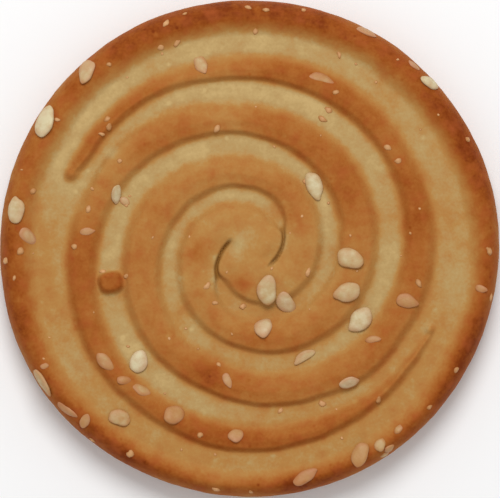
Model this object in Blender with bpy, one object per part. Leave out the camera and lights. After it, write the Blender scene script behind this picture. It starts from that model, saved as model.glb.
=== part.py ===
"""A round moulded sesame biscuit, modelled as one solid.

A disc of dough with a flat underside. Its top carries two grooves that wind out from the middle
as a double swirl, a wide channel that they run into, and a raised rim that rolls over to the side.
Sesame seeds are baked into the top. Metres, +Z up, the middle of the underside at the origin.
"""

import math

import bmesh
import bpy
import numpy as np
from mathutils import Matrix, Vector
from mathutils.geometry import delaunay_2d_cdt

MM = 0.001

# The dough disc.
RADIUS = 28.0 * MM
OUTLINE_WAVES = ((2, 0.08, 11.0), (4, 0.06, 30.0), (5, 0.04, -1.0), (7, 0.03, 8.0))  # lobes, mm, degrees
HEIGHT = 6.4 * MM  # ridge crowns above the underside, at the rim
DOME = 0.2 * MM  # how much higher the middle is than the rim
WIDEST_AT = 2.7 * MM  # height of the side's widest line
ROLL = 2.1 * MM  # width over which the rim rolls down to the widest line
ROLL_SQUARENESS = 2.3  # 2 rolls as an ellipse, more is fuller
FOOT = ((0.12 * MM, 1.5 * MM), (0.5 * MM, 0.5 * MM), (1.2 * MM, 0.0))  # lower side: (inset, height)

# The swirl: two equal grooves, the second half a turn round from the first.
SWIRL_CENTRE = (0.1 * MM, -0.55 * MM)
GROOVE_STARTS = (0.0, 180.0)
GROOVE_DEPTH = 1.0 * MM
# Degrees wound from the start, distance from the swirl's centre, half the floor's width, depth share.
GROOVE = (
    (-40.0, 2.5, 0.08, 0.0),
    (-20.0, 2.75, 0.10, 0.9),
    (5.0, 3.4, 0.11, 1.0),
    (25.0, 4.15, 0.15, 1.0),
    (45.0, 5.05, 0.30, 1.0),
    (70.0, 6.0, 0.46, 1.0),
    (100.0, 6.85, 0.53, 1.0),
    (180.0, 9.0, 0.62, 1.0),
    (270.0, 12.25, 0.68, 1.0),
    (360.0, 15.8, 0.78, 1.0),
    (450.0, 18.3, 0.74, 1.0),
    (490.0, 20.0, 0.54, 1.0),
    (512.0, 20.6, 0.52, 1.0),
    (521.0, 21.1, 0.90, 1.0),
    (530.0, 21.9, 1.40, 1.0),
    (545.0, 22.4, 1.35, 1.0),
    (590.0, 23.0, 1.00, 1.0),
    (660.0, 23.4, 0.60, 1.0),
)
WALL = 0.5 * MM  # width of a groove's steep side where the groove is wide
CREASE_WALL = (0.1 * MM, 1.2)  # where it is a mere crease: width, plus this times the half width
SHOULDER = 1.7 * MM  # width over which a ridge rounds off above the steep side
WALL_SHARE = 0.75  # part of the depth that the steep side takes

# The channel between the swirl and the rim.
CHANNEL_INNER = ((0.0, 0.0), 23.0 * MM)  # centre and radius of the floor's inner edge
CHANNEL_OUTER = ((0.25 * MM, -0.7 * MM), 24.35 * MM)  # the same for its outer edge
CHANNEL_SLOPE = 1.4 * MM  # width of the soft slope up to the rim

# A plug of dough left across the second groove.
PLUG_CENTRE = (-15.4 * MM, -3.8 * MM)
PLUG_RADIUS = 1.4 * MM
PLUG_TOP = 0.45  # part of its radius that fills the groove

# Seeds: (x mm, y mm, turn of the pointed end in degrees, length mm, width mm).
LYING_SEEDS = (
    (-23.0, 14.3, 75, 3.5, 1.8), (-26.1, 4.3, 90, 3.1, 1.9), (20.1, 18.5, 190, 2.4, 1.7),
    (7.4, 7.0, -70, 3.1, 1.7), (-14.7, 5.8, -75, 2.5, 1.2), (11.4, -1.1, -20, 3.1, 2.2),
    (11.0, -4.9, 202, 2.9, 2.0), (12.4, -8.0, 222, 3.1, 2.0), (2.1, -4.6, 270, 3.1, 2.0),
    (6.3, -12.2, 30, 2.9, 1.1), (11.2, -15.0, 10, 2.0, 1.3), (-12.5, -12.6, 70, 2.8, 1.9),
    (-14.5, -19.1, -12, 2.7, 1.7), (-23.0, -15.0, -60, 3.6, 2.0), (-18.0, 19.9, 260, 2.8, 1.8),
    (12.6, -23.3, 255, 2.5, 1.8),
)  # fmt: skip
BEDDED_SEEDS = (
    (-5.4, 20.6, -65, 2.6, 1.5), (13.1, 24.2, -25, 2.8, 1.5), (18.5, 20.5, -35, 1.7, 1.0),
    (17.7, -6.0, -10, 2.6, 1.8), (4.3, -6.0, 125, 2.7, 1.8), (1.5, -9.0, 60, 2.4, 1.8),
    (-2.4, -14.8, -60, 1.4, 1.2), (-8.4, -18.6, 20, 2.2, 2.0), (-18.4, -19.6, 65, 2.4, 1.5),
    (-1.5, -20.9, 30, 1.8, 1.6), (6.3, -25.6, 30, 3.4, 1.5), (15.0, -22.3, 60, 2.2, 1.9),
)  # fmt: skip
SUNK_SEEDS = (
    (-24.7, 1.3, -35, 2.7, 1.6), (8.1, 19.0, -15, 3.0, 1.3), (-18.1, 1.9, 10, 1.8, 1.0),
    (-16.1, -12.7, -45, 2.7, 1.3), (-14.0, -14.7, 0, 1.7, 1.0), (-12.0, -15.8, -18, 2.4, 1.2),
    (-20.4, -18.1, -25, 2.8, 1.1), (16.7, -20.2, 20, 1.3, 1.0), (13.9, -10.2, 3, 1.9, 0.9),
    (26.0, -4.5, -20, 1.5, 0.9),
)  # fmt: skip
SEED_THICKNESS = 0.5  # of its width
SEED_RINGS = ((0.12, 0.62), (0.42, 1.0), (0.76, 0.62))  # place along the length, share of the width
SEED_SIDES = 6
LYING_LIFT, BEDDED_LIFT, SUNK_LIFT = 0.25, 0.05, -0.15  # of its thickness, middle above the dough
LEAN_REACH = 0.4 * MM  # how far each side of its middle a seed takes the dough's slope from

# How finely the solid is faceted.
GROOVE_STEP = 1.25 * MM
CURL_STEP = 0.15  # the step along a groove is never more than this times its radius
CREASE_HALF_WIDTH = 0.3 * MM  # a narrower floor gets one row of points, a wider one two
SHOULDER_ROW = 0.75 * MM  # how far from the top of the steep side the shoulder's row lies
SHOULDER_CLEARANCE = 0.6 * MM  # how far a shoulder's points keep from the others
EDGE_SLACK = 0.05 * MM
SLOPE_ROWS = (1.0, 0.5, 0.0)  # parts of the slope from the channel up to the rim
PLUG_ROWS = ((0.0, 1), (0.5, 8), (0.78, 14), (1.0, 18))  # part of its radius, points
PLUG_REACH = 0.9  # part of its radius inside which only its own rows have points
RING_POINTS = 120
ROLL_ANGLES = (0, 25, 48, 68)  # degrees down the rolled edge, from its widest line
NEAREST = 0.14 * MM  # the least gap between two points of the top
WELD = 1e-7  # closer points are one
RING_BEARINGS = np.arange(RING_POINTS) * 2.0 * math.pi / RING_POINTS


def hermite(knots, turn):
    """The columns of `knots` after the first, as smooth curves through the rows, read at `turn`."""
    knots = np.asarray(knots)
    at, values = knots[:, 0], knots[:, 1:]
    slopes = np.empty_like(values)
    slopes[1:-1] = (values[2:] - values[:-2]) / (at[2:] - at[:-2])[:, None]
    slopes[0] = (values[1] - values[0]) / (at[1] - at[0])
    slopes[-1] = (values[-1] - values[-2]) / (at[-1] - at[-2])
    row = np.clip(np.searchsorted(at, turn, side="right") - 1, 0, len(at) - 2)
    gap = at[row + 1] - at[row]
    s = np.clip((turn - at[row]) / gap, 0.0, 1.0)[..., None]
    gap = gap[..., None]
    return (
        (2 * s**3 - 3 * s**2 + 1) * values[row]
        + (s**3 - 2 * s**2 + s) * gap * slopes[row]
        + (3 * s**2 - 2 * s**3) * values[row + 1]
        + (s**3 - s**2) * gap * slopes[row + 1]
    )


def groove_at(turn):
    """Distance from the swirl's centre and half width in metres, and depth share, at `turn` degrees."""
    distance, half_width, share = np.moveaxis(hermite(GROOVE, turn), -1, 0)
    return distance * MM, half_width * MM, np.clip(share, 0.0, 1.0)


def groove_lean(turn):
    """Cosine of the angle between the groove and a circle round the swirl's centre."""
    ahead, behind = groove_at(turn + 1.0)[0], groove_at(turn - 1.0)[0]
    return np.cos(np.arctan((ahead - behind) / math.radians(2.0) / groove_at(turn)[0]))


def wall_width(half_width):
    return np.minimum(WALL, CREASE_WALL[0] + CREASE_WALL[1] * half_width)


def smoothstep(low, high, value):
    s = np.clip((value - low) / (high - low), 0.0, 1.0)
    return s * s * (3.0 - 2.0 * s)


def bank(outside, wall=WALL):
    """Share of the depth at a distance outside a floor's edge: a steep side, then a round shoulder."""
    steep = 1.0 - smoothstep(0.0, wall, outside)
    rounded = 1.0 - smoothstep(0.0, wall + SHOULDER, outside)
    return WALL_SHARE * steep + (1.0 - WALL_SHARE) * rounded


def from_circle(x, y, circle):
    """Distance outside a circle given as its centre and radius."""
    (middle_x, middle_y), radius = circle
    return np.hypot(x - middle_x, y - middle_y) - radius


def cut_shape(x, y):
    """Distance outside the nearest floor inside the rim, and the share of the depth that is cut."""
    dx, dy = x - SWIRL_CENTRE[0], y - SWIRL_CENTRE[1]
    distance, bearing = np.hypot(dx, dy), np.degrees(np.arctan2(dy, dx))
    first, last = GROOVE[0][0], GROOVE[-1][0]
    nearest = -from_circle(x, y, CHANNEL_INNER)
    deepest = bank(nearest)
    for start in GROOVE_STARTS:
        for lap in range(-1, 4):
            turn = bearing - start + 360.0 * lap
            reached = (turn >= first) & (turn <= last)
            centre, half_width, share = groove_at(np.clip(turn, first, last))
            outside = np.abs(distance - centre) * groove_lean(turn) - half_width
            depth = share * bank(outside, wall_width(half_width))
            nearest = np.where(reached, np.minimum(nearest, outside), nearest)
            deepest = np.where(reached, np.maximum(deepest, depth), deepest)
    return nearest, deepest


def cut_depth(x, y):
    """Share of the full depth that the grooves and the channel cut at each point."""
    plug = np.hypot(x - PLUG_CENTRE[0], y - PLUG_CENTRE[1]) / PLUG_RADIUS
    rim = smoothstep(0.0, CHANNEL_SLOPE, from_circle(x, y, CHANNEL_OUTER))
    return cut_shape(x, y)[1] * smoothstep(PLUG_TOP, 1.0, plug) * (1.0 - rim)


def outline(bearing):
    """Distance from the origin to the outline at `bearing`, in radians."""
    radius = np.full_like(bearing, RADIUS)
    for lobes, height, direction in OUTLINE_WAVES:
        radius = radius + height * MM * np.cos(lobes * (bearing - math.radians(direction)))
    return radius


def top_height(x, y):
    """Height of the top surface at each point inside the outline."""
    distance, edge = np.hypot(x, y), outline(np.arctan2(y, x))
    inward = np.clip((edge - distance) / ROLL, 0.0, 1.0)
    roll = (1.0 - (1.0 - inward) ** ROLL_SQUARENESS) ** (1.0 / ROLL_SQUARENESS)
    crown = HEIGHT + DOME * (1.0 - (distance / RADIUS) ** 2)
    return WIDEST_AT + (crown - WIDEST_AT) * roll - GROOVE_DEPTH * cut_depth(x, y)


def ring(radius):
    """Points at even bearings round the origin, `radius` being one for each bearing."""
    return np.column_stack((radius * np.cos(RING_BEARINGS), radius * np.sin(RING_BEARINGS)))


def round_line(circle, count):
    """Points evenly round a circle given as its centre and radius."""
    (middle_x, middle_y), radius = circle
    bearing = np.arange(count) * 2.0 * math.pi / count
    return np.column_stack((middle_x + radius * np.cos(bearing), middle_y + radius * np.sin(bearing)))


def reach_of(circle, bearing, start=(0.0, 0.0)):
    """Distance from a point inside a circle to the circle, at each bearing."""
    (middle_x, middle_y), radius = circle
    middle_x, middle_y = middle_x - start[0], middle_y - start[1]
    along = middle_x * np.cos(bearing) + middle_y * np.sin(bearing)
    across = middle_y * np.cos(bearing) - middle_x * np.sin(bearing)
    return along + np.sqrt(radius**2 - across**2)


def rim_rows():
    """Rings of points from the outline in over the rim to the outer edge of the channel's floor."""
    edge = outline(RING_BEARINGS)
    floor = reach_of(CHANNEL_OUTER, RING_BEARINGS)
    rolled = [edge - ROLL * (1.0 - math.cos(math.radians(angle))) for angle in ROLL_ANGLES]
    sloped = [floor + CHANNEL_SLOPE * share for share in SLOPE_ROWS]
    return [ring(radius) for radius in (*rolled, *sloped)]


def groove_turns():
    """Turns along the groove at even steps of length, shorter where it curls tightly."""
    turns = [GROOVE[0][0] + 0.5]
    while turns[-1] < GROOVE[-1][0]:
        turn = np.array(turns[-1])
        run = groove_at(turn)[0] / groove_lean(turn)
        turns.append(turns[-1] + math.degrees(min(GROOVE_STEP, CURL_STEP * run) / run))
    return np.array(turns[:-1])


def from_swirl(bearing, radius):
    return np.column_stack((radius * np.cos(bearing), radius * np.sin(bearing))) + SWIRL_CENTRE


def groove_rows():
    """Rows of points along both grooves, each with its distance outside the floor and its clearance."""
    turns = groove_turns()
    centre, half_width, _ = groove_at(turns)
    lean = groove_lean(turns)
    outer_edge = centre + half_width / lean
    next_centre, next_half_width, _ = groove_at(np.minimum(turns + 180.0, GROOVE[-1][0]))
    for start in GROOVE_STARTS:
        bearing = np.radians(turns + start)
        channel = reach_of(CHANNEL_INNER, bearing, SWIRL_CENTRE)
        half_gap = (np.minimum(next_centre - next_half_width, channel) - outer_edge) / 2.0
        real = half_gap > 0.0
        yield from_swirl(bearing, outer_edge + half_gap)[real], (half_gap * lean)[real], NEAREST
    top = wall_width(half_width)
    floor = np.where(half_width < CREASE_HALF_WIDTH, -half_width, 0.0)
    for outside, clearance in ((top, NEAREST), (floor, NEAREST), (top + SHOULDER_ROW, SHOULDER_CLEARANCE)):
        for start in GROOVE_STARTS:
            bearing = np.radians(turns + start)
            for side in (1.0, -1.0):
                radius = centre + side * (half_width + outside) / lean
                real = radius > 0.0
                yield from_swirl(bearing, radius)[real], outside[real], clearance


def channel_rows():
    """Rows along the inner edge of the channel, as for the grooves."""
    middle, radius = CHANNEL_INNER
    count = round(2.0 * math.pi * radius / GROOVE_STEP)
    for outside, clearance in ((WALL, NEAREST), (0.0, NEAREST), (WALL + SHOULDER_ROW, SHOULDER_CLEARANCE)):
        yield round_line((middle, radius - outside), count), np.full(count, outside), clearance


def inner_rows():
    """Rows inside the rim, each with its clearance, cut back to where it is the edge of what is cut."""
    for share, count in PLUG_ROWS:
        yield round_line((PLUG_CENTRE, share * PLUG_RADIUS), count), NEAREST
    for line, outside, clearance in (*groove_rows(), *channel_rows()):
        x, y = line.T
        on_edge = cut_shape(x, y)[0] > outside - EDGE_SLACK
        in_rim = from_circle(x, y, CHANNEL_OUTER) < -2.0 * NEAREST
        off_plug = from_circle(x, y, (PLUG_CENTRE, PLUG_REACH * PLUG_RADIUS)) > 0.0
        yield line[on_edge & in_rim & off_plug], clearance


def top_points():
    """Plan of the top's vertices, the outline's ring first, each inner row clear of those before it."""
    kept = np.vstack(rim_rows())
    for row, clearance in inner_rows():
        apart = np.hypot(*(row[:, None, :] - kept[None, :, :]).transpose(2, 0, 1)).min(axis=1)
        kept = np.vstack((kept, row[apart > clearance]))
    return kept


def dough_mesh():
    """The disc of dough: the faceted top, then the side rolled under to the flat underside."""
    plan = top_points()
    rim_edges = [(i, (i + 1) % RING_POINTS) for i in range(RING_POINTS)]
    flat = [Vector(point) for point in plan.tolist()]
    placed, _, faces, *_ = delaunay_2d_cdt(flat, rim_edges, [], 1, WELD)
    plan = np.array(placed)
    height = top_height(plan[:, 0], plan[:, 1])
    bm = bmesh.new()
    verts = [bm.verts.new((x, y, z)) for (x, y), z in zip(plan, height)]
    for face in faces:
        bm.faces.new([verts[i] for i in face])
    upper = verts[:RING_POINTS]
    for inset, z in FOOT:
        lower = [bm.verts.new((x, y, z)) for x, y in ring(outline(RING_BEARINGS) - inset)]
        for i in range(RING_POINTS):
            j = (i + 1) % RING_POINTS
            bm.faces.new((upper[i], lower[i], lower[j], upper[j]))
        upper = lower
    bm.faces.new(upper[::-1])
    bmesh.ops.recalc_face_normals(bm, faces=bm.faces)
    return finished(bm, "dough")


def seed_mesh(length, width):
    """A flat drop: a blunt end, three six-sided rings and a point, along X."""
    bm = bmesh.new()
    thickness = width * SEED_THICKNESS
    blunt = bm.verts.new((-length / 2.0, 0.0, 0.0))
    point = bm.verts.new((length / 2.0, 0.0, 0.0))
    rings = []
    for place, share in SEED_RINGS:
        rings.append([])
        for side in range(SEED_SIDES):
            angle = 2.0 * math.pi * side / SEED_SIDES
            across, up = width / 2.0 * share * math.cos(angle), thickness / 2.0 * share * math.sin(angle)
            rings[-1].append(bm.verts.new(((place - 0.5) * length, across, up)))
    for side in range(SEED_SIDES):
        after = (side + 1) % SEED_SIDES
        bm.faces.new((blunt, rings[0][after], rings[0][side]))
        bm.faces.new((point, rings[-1][side], rings[-1][after]))
        for near, far in zip(rings, rings[1:]):
            bm.faces.new((near[side], near[after], far[after], far[side]))
    bmesh.ops.recalc_face_normals(bm, faces=bm.faces)
    return finished(bm, "seed")


def finished(bm, name):
    mesh = bpy.data.meshes.new(name)
    bm.to_mesh(mesh)
    bm.free()
    return mesh


def surface_frame(x, y, turn):
    """Rotation that lays a seed along the dough at a point, its long axis turned by `turn` degrees."""
    xs = np.array([x - LEAN_REACH, x + LEAN_REACH, x, x])
    ys = np.array([y, y, y - LEAN_REACH, y + LEAN_REACH])
    heights = top_height(xs, ys)
    up = Vector((heights[0] - heights[1], heights[2] - heights[3], 2.0 * LEAN_REACH)).normalized()
    along = Vector((math.cos(math.radians(turn)), math.sin(math.radians(turn)), 0.0))
    across = up.cross(along).normalized()
    return Matrix((across.cross(up), across, up)).transposed().to_4x4()


def place_seeds(collection):
    """Every seed as its own closed solid, partly sunk in the dough."""
    for seeds, lift in (
        (LYING_SEEDS, LYING_LIFT),
        (BEDDED_SEEDS, BEDDED_LIFT),
        (SUNK_SEEDS, SUNK_LIFT),
    ):
        for x, y, turn, length, width in seeds:
            seed = bpy.data.objects.new("seed", seed_mesh(length * MM, width * MM))
            collection.objects.link(seed)
            spot = Vector((x * MM, y * MM, float(top_height(x * MM, y * MM))))
            lay = surface_frame(x * MM, y * MM, turn)
            lifted = lay @ Vector((0.0, 0.0, lift * width * SEED_THICKNESS * MM))
            seed.matrix_world = Matrix.Translation(spot + lifted) @ lay


def fuse(body, collection):
    """Joins every object of the collection to the body, then removes them."""
    union = body.modifiers.new("seeds baked in", "BOOLEAN")
    union.operation = "UNION"
    union.operand_type = "COLLECTION"
    union.collection = collection
    bpy.context.view_layer.objects.active = body
    bpy.ops.object.modifier_apply(modifier=union.name)
    for seed in list(collection.objects):
        bpy.data.objects.remove(seed)
    bpy.data.collections.remove(collection)


def baked_dough():
    """Plain baked dough: golden brown and matt."""
    material = bpy.data.materials.new("baked dough")
    material.use_nodes = True
    shader = material.node_tree.nodes["Principled BSDF"]
    shader.inputs["Base Color"].default_value = (0.48, 0.20, 0.06, 1.0)
    shader.inputs["Roughness"].default_value = 0.6
    shader.inputs["Metallic"].default_value = 0.0
    return material


def main():
    for old in list(bpy.data.objects):
        bpy.data.objects.remove(old)
    biscuit = bpy.data.objects.new("sesame_biscuit", dough_mesh())
    bpy.context.scene.collection.objects.link(biscuit)
    seeds = bpy.data.collections.new("seeds")
    bpy.context.scene.collection.children.link(seeds)
    place_seeds(seeds)
    fuse(biscuit, seeds)
    biscuit.data.materials.clear()
    biscuit.data.materials.append(baked_dough())
    biscuit.data.shade_smooth()
    biscuit.data.set_sharp_from_angle(angle=math.radians(40.0))


main()
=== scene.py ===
"""Sesame biscuit: a round swirled biscuit with baked-in sesame seeds.

Laid out as a Blender add-on and run as a script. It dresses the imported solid: a finely meshed dough
with its crust, the sesame seeds, the crumbs, and a plain pale stage with soft light.
Metres, +Z up, the middle of the underside at the origin.
"""

import math

import bpy
import numpy as np
from bpy.props import FloatProperty, FloatVectorProperty, IntProperty, PointerProperty
from mathutils import Matrix, Vector, noise


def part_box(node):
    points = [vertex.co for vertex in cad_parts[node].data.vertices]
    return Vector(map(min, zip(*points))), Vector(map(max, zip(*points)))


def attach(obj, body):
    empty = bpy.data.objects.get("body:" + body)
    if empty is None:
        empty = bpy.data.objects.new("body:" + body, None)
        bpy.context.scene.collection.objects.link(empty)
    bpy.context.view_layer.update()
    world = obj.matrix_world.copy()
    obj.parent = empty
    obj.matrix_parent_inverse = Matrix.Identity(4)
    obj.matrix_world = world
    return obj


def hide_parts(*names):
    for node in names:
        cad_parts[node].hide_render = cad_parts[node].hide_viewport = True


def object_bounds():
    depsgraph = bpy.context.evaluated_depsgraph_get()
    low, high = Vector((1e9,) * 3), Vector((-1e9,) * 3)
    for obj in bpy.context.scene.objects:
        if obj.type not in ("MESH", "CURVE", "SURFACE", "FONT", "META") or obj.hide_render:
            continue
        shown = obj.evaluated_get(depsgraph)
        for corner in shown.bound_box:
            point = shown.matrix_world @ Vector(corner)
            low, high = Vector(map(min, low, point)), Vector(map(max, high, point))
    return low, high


bl_info = {
    "name": "Sesame Biscuit",
    "version": (1, 0, 0),
    "blender": (4, 5, 0),
    "location": "View3D > Sidebar > Biscuit",
    "description": "Builds a swirled sesame biscuit and a plain stage for it",
    "category": "Object",
}

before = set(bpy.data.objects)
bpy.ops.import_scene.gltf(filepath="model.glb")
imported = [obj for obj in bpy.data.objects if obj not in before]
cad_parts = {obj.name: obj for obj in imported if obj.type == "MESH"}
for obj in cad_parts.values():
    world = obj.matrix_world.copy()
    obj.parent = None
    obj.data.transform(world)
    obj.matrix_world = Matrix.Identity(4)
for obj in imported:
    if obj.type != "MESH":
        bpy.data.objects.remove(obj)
cad_box = [list(corner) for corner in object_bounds()]

NODE = "sesame_biscuit"
BODY = "root"
MM = 0.001
NEVER_ZERO = 1e-12
SIZE_SLACK = 0.5 * MM  # how far the dough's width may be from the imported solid's

# ------------------------------------------------------------------------------------------------
# Shape of the dough, as in the solid
# ------------------------------------------------------------------------------------------------

OUTLINE_WAVES = ((2, 0.08, 11.0), (4, 0.06, 30.0), (5, 0.04, -1.0), (7, 0.03, 8.0))  # lobes, mm, degrees
FOOT = ((0.0, 0.0), (0.12, 0.45), (0.5, 0.81), (1.2, 1.0))  # lower side: inset in mm, share of the way down
SWIRL_CENTRE = (0.1 * MM, -0.55 * MM)
GROOVE_STARTS = (0.0, 180.0)
# Along a groove: (degrees wound from its start, mm from the swirl's centre, half the floor's width in mm).
SWIRL = (
    (-40, 2.5, 0.03), (-20, 2.75, 0.04), (5, 3.4, 0.04), (25, 4.15, 0.05), (34, 4.45, 0.09), (42, 4.72, 0.22),
    (52, 5.05, 0.38), (70, 5.75, 0.55), (100, 6.65, 0.60), (140, 7.75, 0.45), (180, 8.9, 0.50), (220, 10.35, 0.65),
    (240, 11.0, 0.75), (270, 12.1, 0.85), (300, 13.3, 0.77), (320, 14.2, 0.85), (340, 15.0, 0.90), (360, 15.7, 1.05),
    (400, 17.05, 1.20), (420, 17.4, 1.20), (440, 17.9, 1.15),
)  # fmt: skip
# The two grooves wind in step until here, and then each comes out into the channel in its own way.
GROOVES = (
    (
        *SWIRL, (460, 18.55, 0.92), (480, 19.4, 0.75), (500, 19.98, 0.44), (512, 20.22, 0.40), (520, 20.9, 0.70),
        (532, 21.7, 1.00), (550, 22.2, 1.10), (570, 22.7, 1.00), (600, 23.0, 1.05), (630, 23.7, 1.00),
        (660, 24.0, 1.00), (690, 24.2, 1.00),
    ),
    (
        *SWIRL, (450, 18.25, 1.05), (465, 18.6, 0.80), (480, 19.18, 0.63), (495, 20.05, 0.50), (510, 20.45, 0.50),
        (525, 21.53, 0.90), (540, 22.1, 1.00), (555, 22.35, 1.00), (570, 22.5, 1.00), (600, 23.2, 1.00),
        (630, 23.4, 1.00), (690, 23.8, 1.00),
    ),
)  # fmt: skip
GROOVE_OPENS = ((-40, 0.0), (-20, 0.9), (5, 1.0), (25, 1.0))  # degrees wound, share of the depth
FIRST_TURN, LAST_TURN = GROOVES[0][0][0], GROOVES[0][-1][0]
TIPS = ((515.8, 21.9, 1.08), (517.0, 21.9, 0.82))  # round end of the ridge outside each: turn, distance, radius
TIP_WALL = 1.5  # width of the side round the end of a ridge, in steepest walls
CREASE_WALL = (0.12 * MM, 2.05)  # where a groove is a mere crease: wall width, plus this times the half width
CHANNEL_INNER = ((0.14 * MM, -0.24 * MM), 22.75 * MM)  # centre and radius of the channel floor's inner edge
# Bearing, distance from the origin of the channel floor's outer edge in mm.
CHANNEL_OUTER = (
    (0, 24.4), (15, 24.05), (30, 24.05), (45, 23.7), (60, 23.8), (90, 23.75), (105, 23.8), (120, 23.62),
    (135, 23.78), (150, 23.6), (165, 23.88), (180, 23.62), (195, 24.12), (210, 24.3), (240, 24.58), (270, 24.75),
    (315, 24.82), (330, 24.4), (345, 24.65),
)  # fmt: skip
PLUG_CENTRE = (-15.5 * MM, -3.8 * MM)
PLUG_ACROSS = 1.2  # its half width across the groove, of the one along it
PLUG_TOP = 0.55  # part of its radius that fills the groove
PLUG_SQUARENESS = 3.0  # 2 is round, more is squarer
WANDER_SIZE = 2.2 * MM  # how long the bends are by which the groove edges wander
WANDER_OFFSET = 31.7  # where in the noise the bends along Y are read
SWELLS = ((1.0, 3.0 * MM, 0.0), (0.5, 1.3 * MM, 11.3))  # broad unevenness: share of the swell, size, offset
PIMPLES = (0.5 * MM, 5.1)  # small unevenness: size, offset
FLAT_FOOT = 0.6 * MM  # below this height the unevenness dies away

# ------------------------------------------------------------------------------------------------
# How brown the crust is, 0 pale and 1 scorched, with painted light and shade on the ridges, rim and channel, and
# painted shade in the creases
# ------------------------------------------------------------------------------------------------

# Along the ridge outside each groove: (degrees wound, browning of its crown).
RIDGE_BROWNING = (
    (
        (-40, 0.34), (0, 0.42), (20, 0.43), (40, 0.60), (60, 0.62), (80, 0.53), (120, 0.46), (140, 0.49),
        (160, 0.60), (180, 0.56), (220, 0.55), (245, 0.71), (262, 0.74), (285, 0.60), (330, 0.66), (360, 0.69),
        (380, 0.78), (400, 0.70), (420, 0.80), (440, 0.79), (465, 0.52), (490, 0.70), (520, 0.68),
    ),
    (
        (-40, 0.34), (0, 0.46), (20, 0.41), (40, 0.43), (60, 0.49), (80, 0.60), (100, 0.62), (140, 0.52),
        (180, 0.50), (205, 0.72), (225, 0.74), (260, 0.68), (280, 0.47), (300, 0.66), (320, 0.48), (340, 0.52),
        (362, 0.76), (385, 0.73), (400, 0.68), (420, 0.68), (442, 0.90), (460, 0.80), (480, 0.75), (500, 0.56),
        (520, 0.40),
    ),
)  # fmt: skip
# Along the floor of each groove.
FLOOR_BROWNING = (
    (
        (-40, 0.20), (60, 0.18), (80, 0.09), (120, 0.09), (140, 0.15), (160, 0.13), (180, 0.10), (200, 0.16),
        (240, 0.17), (260, 0.22), (280, 0.18), (320, 0.11), (360, 0.08), (380, 0.17), (400, 0.08), (440, 0.08),
        (460, 0.03), (480, 0.09), (500, 0.17), (540, 0.20),
    ),
    (
        (-40, 0.30), (40, 0.30), (60, 0.27), (80, 0.17), (100, 0.25), (120, 0.26), (140, 0.19), (180, 0.14),
        (200, 0.11), (220, 0.05), (260, 0.08), (300, 0.08), (340, 0.11), (360, 0.08), (380, 0.15), (400, 0.03),
        (420, 0.11), (440, 0.17), (480, 0.21), (500, 0.24), (540, 0.20),
    ),
)  # fmt: skip
# Round the rim, and round the channel: (bearing in degrees, browning).
RIM_BROWNING = (
    (0, 0.75), (15, 0.88), (30, 0.93), (45, 0.85), (60, 0.82), (75, 0.93), (90, 0.96), (120, 0.91), (135, 0.76),
    (165, 0.69), (180, 0.82), (195, 0.86), (210, 0.75), (225, 0.84), (240, 0.97), (255, 0.78), (270, 0.80),
    (285, 0.96), (300, 0.76), (315, 0.85), (330, 0.98), (345, 0.88),
)  # fmt: skip
RIM_EDGE_LIGHT = (0.9 * MM, 0.20)  # within this of the outline the rim is painted paler, by up to this much: painted light that lifts the shade on its steep roll
# The channel is paler on the side toward the key light and browner away from it: partly painted light and shade,
# partly the dough's own tone.
CHANNEL_BROWNING_AND_LIGHT = (
    (0, 0.195), (30, 0.17), (45, 0.18), (60, 0.12), (75, 0.11), (90, 0.06), (105, 0.09), (120, 0.13), (135, 0.03),
    (150, 0.06), (165, 0.17), (180, 0.28), (195, 0.27), (210, 0.18), (225, 0.23), (240, 0.24), (255, 0.28),
    (270, 0.22), (285, 0.24), (300, 0.27), (315, 0.24), (330, 0.24), (345, 0.16),
)  # fmt: skip
FLOOR_EDGE = (0.6 * MM, 0.36)  # a floor colours within this of its edge, by this share of the way to the ridge
FLOOR_BLEND = 0.8 * MM  # how far outside its groove a floor's tone still counts
FLOOR_STARTS = 20.0  # degrees before the start of its groove from which a floor's tone counts
SIDES_START = 60.0  # degrees after the start of a groove where the painted light and shade on its ridge's two sides come in full
CHANNEL_BLEND = (20.8 * MM, 22.6 * MM)  # where the channel's tone comes in, from the origin
CREASE = (0.11 * MM, 0.24 * MM)  # a groove this narrow gets the painted shade of a crease, and from this half width on it doesn't
CREASE_SHADE_SHARES = (0.66, 0.92)  # how dark the painted shade of the crease at the start of each groove is
CREASE_SHADE_REACH = 0.34 * MM  # how far the painted shade of a crease reaches outside its floor
CREASE_SHADE_STRENGTH = 0.9  # share of the painted crease shade at its bottom
LIT_SIDE = 92.0  # bearing of the key light: ridge sides facing it are painted paler and those facing away darker, as painted light and shade, and floor sides facing it have softer walls
RIDGE_TONE = 0.04  # added to the ridges' browning
PAINTED_LIGHT_LOSS = 0.09  # painted light and shade: taken off at the middle of a ridge, twice that off its side facing the light, and nothing off its side facing away
LEAST_RIDGE = 0.5 * MM  # the least width that a ridge counts as having
EDGE_PALING_AND_LIGHT = (0.15, 0.10)  # taken off at a ridge's edges, where the dough is paler, and as painted light off those at right angles to the light's side
# Width over which the browning rises from a floor: least, more midway, and more still on the side facing the light.
# This paints light on that side and painted shade on the side away from it.
RISE_WIDTHS = (0.55 * MM, 0.25 * MM, 1.3 * MM)
PLUG_TONE = 0.62  # added to the browning on the plug of dough
RIM_RISE = (-0.1 * MM, 2.2 * MM)  # where the rim's tone comes in, outside the channel's floor
RIM_INNER = (1.2 * MM, 3.2 * MM, 0.16)  # between these distances from the outline the rim pales by this share
SIDE_TONE = (0.66, 0.5 * MM)  # browning of the foot of the side, and how high it reaches
UNDER_TONE = (0.52, 0.14)  # browning of the underside, and how much more its edge has
UNDERSIDE_ENDS = 0.05 * MM  # height up to which the underside's tone holds
UNDER_EDGE = (5.0 * MM, 1.5 * MM)  # where that edge begins and is full, from the outline
# Strength of the mottling: more on the rim, between these distances from the origin, and less where it is pale.
MOTTLED_RIM = (24.0 * MM, 26.0 * MM, 0.15)
MOTTLED_PALE = (0.4, 0.4)  # the browning below which it weakens, and by how much
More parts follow.
